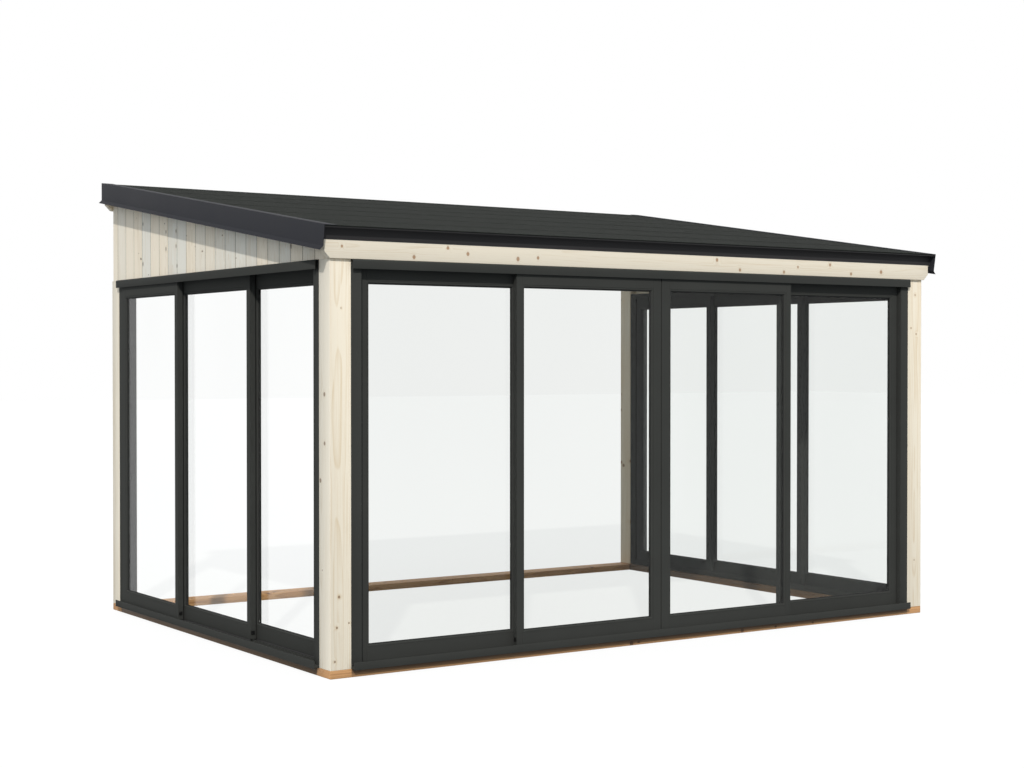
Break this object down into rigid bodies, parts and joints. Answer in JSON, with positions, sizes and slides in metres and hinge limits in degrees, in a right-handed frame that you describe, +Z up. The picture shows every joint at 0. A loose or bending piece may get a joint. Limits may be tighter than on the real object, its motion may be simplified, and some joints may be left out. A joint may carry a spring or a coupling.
{
  "type": "lean-to garden room with sliding glass walls",
  "caption": "Lean-to garden room: timber posts and beams, low felt roof, clad gables and sliding glass walls on the front and both sides, open at the back.",
  "frame": {"origin": "centre of the bounding box, on the ground under the base beams", "axes": "+X along the front towards its right end, -Y out of the front, +Z up"},
  "size_m": [4.3724, 3.0628, 2.7345],
  "materials": {
    "treated_timber": "pressure-treated, sawn",
    "spruce": "planed, untreated",
    "cladding": "planed tongue-and-groove boards",
    "felt": "mineral-faced bitumen felt",
    "metal_trim": "powder-coated sheet, matt",
    "frame_metal": "powder-coated, matt anthracite",
    "glass": "clear float glass"
  },
  "bodies": {
    "building": {"base_front": "treated_timber", "base_back": "treated_timber", "base_left": "treated_timber", "base_right": "treated_timber", "post_front_left": "spruce", "post_front_right": "spruce", "post_back_left": "spruce", "post_back_right": "spruce", "front_beam": "spruce", "back_beam": "spruce", "side_headers": "spruce", "rafters": "spruce", "gable_studs": "spruce", "gable_boards_left": "cladding", "gable_boards_right": "cladding", "roof_boards": "spruce", "roof_felt": "felt", "verge_boards": "spruce", "verge_trim_left": "metal_trim", "verge_trim_right": "metal_trim", "front_fascia": "metal_trim", "front_head": "frame_metal", "front_sill": "frame_metal", "front_jambs": "frame_metal", "left_head": "frame_metal", "left_sill": "frame_metal", "left_jambs": "frame_metal", "right_head": "frame_metal", "right_sill": "frame_metal", "right_jambs": "frame_metal"},
    "front_sash_1": {"front_sash_1": "frame_metal", "front_pane_1": "glass"},
    "front_sash_2": {"front_sash_2": "frame_metal", "front_pane_2": "glass"},
    "front_sash_3": {"front_sash_3": "frame_metal", "front_pane_3": "glass"},
    "front_sash_4": {"front_sash_4": "frame_metal", "front_pane_4": "glass"},
    "left_sash_1": {"left_sash_1": "frame_metal", "left_pane_1": "glass"},
    "left_sash_2": {"left_sash_2": "frame_metal", "left_pane_2": "glass"},
    "left_sash_3": {"left_sash_3": "frame_metal", "left_pane_3": "glass"},
    "right_sash_1": {"right_sash_1": "frame_metal", "right_pane_1": "glass"},
    "right_sash_2": {"right_sash_2": "frame_metal", "right_pane_2": "glass"},
    "right_sash_3": {"right_sash_3": "frame_metal", "right_pane_3": "glass"}
  },
  "joints": [
    {"name": "front_sash_1_slide", "type": "slide", "parent": "building", "child": "front_sash_1", "axis": [1, 0, 0], "range_m": [0, 0.933]},
    {"name": "front_sash_2_slide", "type": "slide", "parent": "building", "child": "front_sash_2", "axis": [1, 0, 0], "range_m": [-0.933, 0]},
    {"name": "front_sash_3_slide", "type": "slide", "parent": "building", "child": "front_sash_3", "axis": [1, 0, 0], "range_m": [0, 0.933]},
    {"name": "front_sash_4_slide", "type": "slide", "parent": "building", "child": "front_sash_4", "axis": [1, 0, 0], "range_m": [-0.933, 0]},
    {"name": "left_sash_1_slide", "type": "slide", "parent": "building", "child": "left_sash_1", "axis": [0, -1, 0], "range_m": [0, 1.721]},
    {"name": "left_sash_2_slide", "type": "slide", "parent": "building", "child": "left_sash_2", "axis": [0, -1, 0], "range_m": [-0.838, 0.815]},
    {"name": "left_sash_3_slide", "type": "slide", "parent": "building", "child": "left_sash_3", "axis": [0, -1, 0], "range_m": [-1.744, 0]},
    {"name": "right_sash_1_slide", "type": "slide", "parent": "building", "child": "right_sash_1", "axis": [0, 1, 0], "range_m": [0, 1.721]},
    {"name": "right_sash_2_slide", "type": "slide", "parent": "building", "child": "right_sash_2", "axis": [0, 1, 0], "range_m": [-0.838, 0.815]},
    {"name": "right_sash_3_slide", "type": "slide", "parent": "building", "child": "right_sash_3", "axis": [0, 1, 0], "range_m": [-1.744, 0]}
  ]
}
